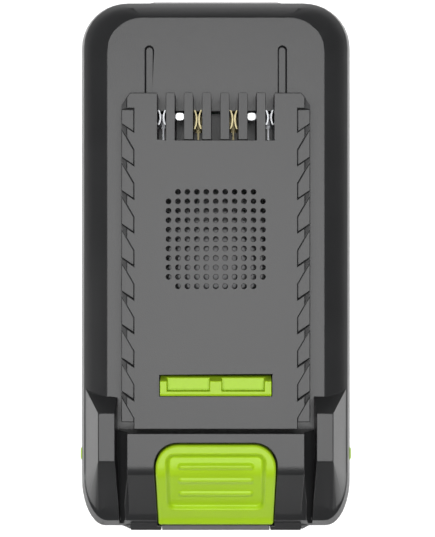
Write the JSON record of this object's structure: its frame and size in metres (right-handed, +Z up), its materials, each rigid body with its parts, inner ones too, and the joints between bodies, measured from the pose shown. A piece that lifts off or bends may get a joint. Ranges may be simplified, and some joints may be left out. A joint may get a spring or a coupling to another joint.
{
  "type": "slide-on battery pack",
  "caption": "Slide-on rechargeable battery pack with saw-toothed rails, slotted contacts, vent holes, a sprung latch tooth with its release button, and a charge gauge.",
  "frame": {"origin": "middle of the flat base, under the middle of the pack's whole length and width", "axes": "+X across the pack, +Y along it towards the contact end, +Z up from the base towards the sliding face"},
  "size_m": [0.0808, 0.158, 0.068],
  "materials": {
    "housing_plastic": "fine matte moulded texture",
    "light_grey_plastic": "smooth matte",
    "lime_plastic": "satin moulded",
    "terminal_plastic": "glass-filled, matte",
    "silver_contact": "bright tin plate",
    "brass_contact": "bright",
    "bright_steel": "bright zinc",
    "board_green": "solder mask",
    "shield_grey": "matte sheet",
    "black_resin": "moulded epoxy",
    "capacitor_sleeve": "shrink sleeve",
    "copper_alloy": "bare alloy",
    "cream_nylon": "nylon",
    "holder_black": "moulded",
    "cell_sleeve": "shrink sleeve with metal ends",
    "nickel": "plain nickel",
    "insulating_sheet": "fibre paper",
    "red_lead": "silicone",
    "black_lead": "silicone",
    "white_lead": "flat cable",
    "thermistor_resin": "dipped bead",
    "foam": "open-cell foam",
    "spring_steel": "zinc-plated wire",
    "bezel_plastic": "fine matte",
    "smoked_lens": "smoked, glossy",
    "gauge_light": "light pipe",
    "soft_button": "soft touch",
    "label_film": "blank satin film"
  },
  "bodies": {
    "housing": {"interface_cover": "housing_plastic", "base_shell": "housing_plastic", "end_pad": "light_grey_plastic", "accent_left": "lime_plastic", "accent_right": "lime_plastic", "terminal_block": "terminal_plastic", "power_contact_positive": "silver_contact", "power_contact_negative": "silver_contact", "signal_contact_left": "brass_contact", "signal_contact_right": "brass_contact", "terminal_screws": "bright_steel", "circuit_board": "board_green", "board_shield": "shield_grey", "power_transistors": "black_resin", "filter_capacitor": "capacitor_sleeve", "current_shunt": "copper_alloy", "sense_connector": "cream_nylon", "controller_chip": "black_resin", "board_screws": "bright_steel", "cell_holder_left": "holder_black", "cell_holder_right": "holder_black", "straps_left": "nickel", "straps_right": "nickel", "insulator_left": "insulating_sheet", "insulator_right": "insulating_sheet", "lead_positive": "red_lead", "lead_negative": "black_lead", "sense_harness": "white_lead", "thermistor": "thermistor_resin", "foam_far": "foam", "foam_near": "foam", "latch_base": "holder_black", "latch_spring_left": "spring_steel", "latch_spring_right": "spring_steel", "gauge_bezel": "bezel_plastic", "gauge_lens": "smoked_lens", "gauge_board": "board_green", "gauge_lights": "gauge_light", "check_switch": "black_resin", "housing_screws": "bright_steel", "rating_label": "label_film", "cell_1": "cell_sleeve", "cell_2": "cell_sleeve", "cell_3": "cell_sleeve", "cell_4": "cell_sleeve", "cell_5": "cell_sleeve", "cell_6": "cell_sleeve", "cell_7": "cell_sleeve", "cell_8": "cell_sleeve", "cell_9": "cell_sleeve", "cell_10": "cell_sleeve", "cell_11": "cell_sleeve", "cell_12": "cell_sleeve", "cell_13": "cell_sleeve", "cell_14": "cell_sleeve"},
    "latch": {"latch_slider": "lime_plastic", "release_button": "lime_plastic"},
    "check_button": {"check_button": "soft_button"}
  },
  "joints": [
    {"name": "latch_press", "type": "slide", "parent": "housing", "child": "latch", "axis": [0, 0, -1], "range_m": [0, 0.004], "stiffness_N_per_m": 2500, "springref_m": -0.002, "deforming": ["latch_spring_left", "latch_spring_right"]},
    {"name": "check_press", "type": "slide", "parent": "housing", "child": "check_button", "axis": [0, 1, 0], "range_m": [0, 0.0006], "stiffness_N_per_m": 1500, "springref_m": -0.0002}
  ]
}
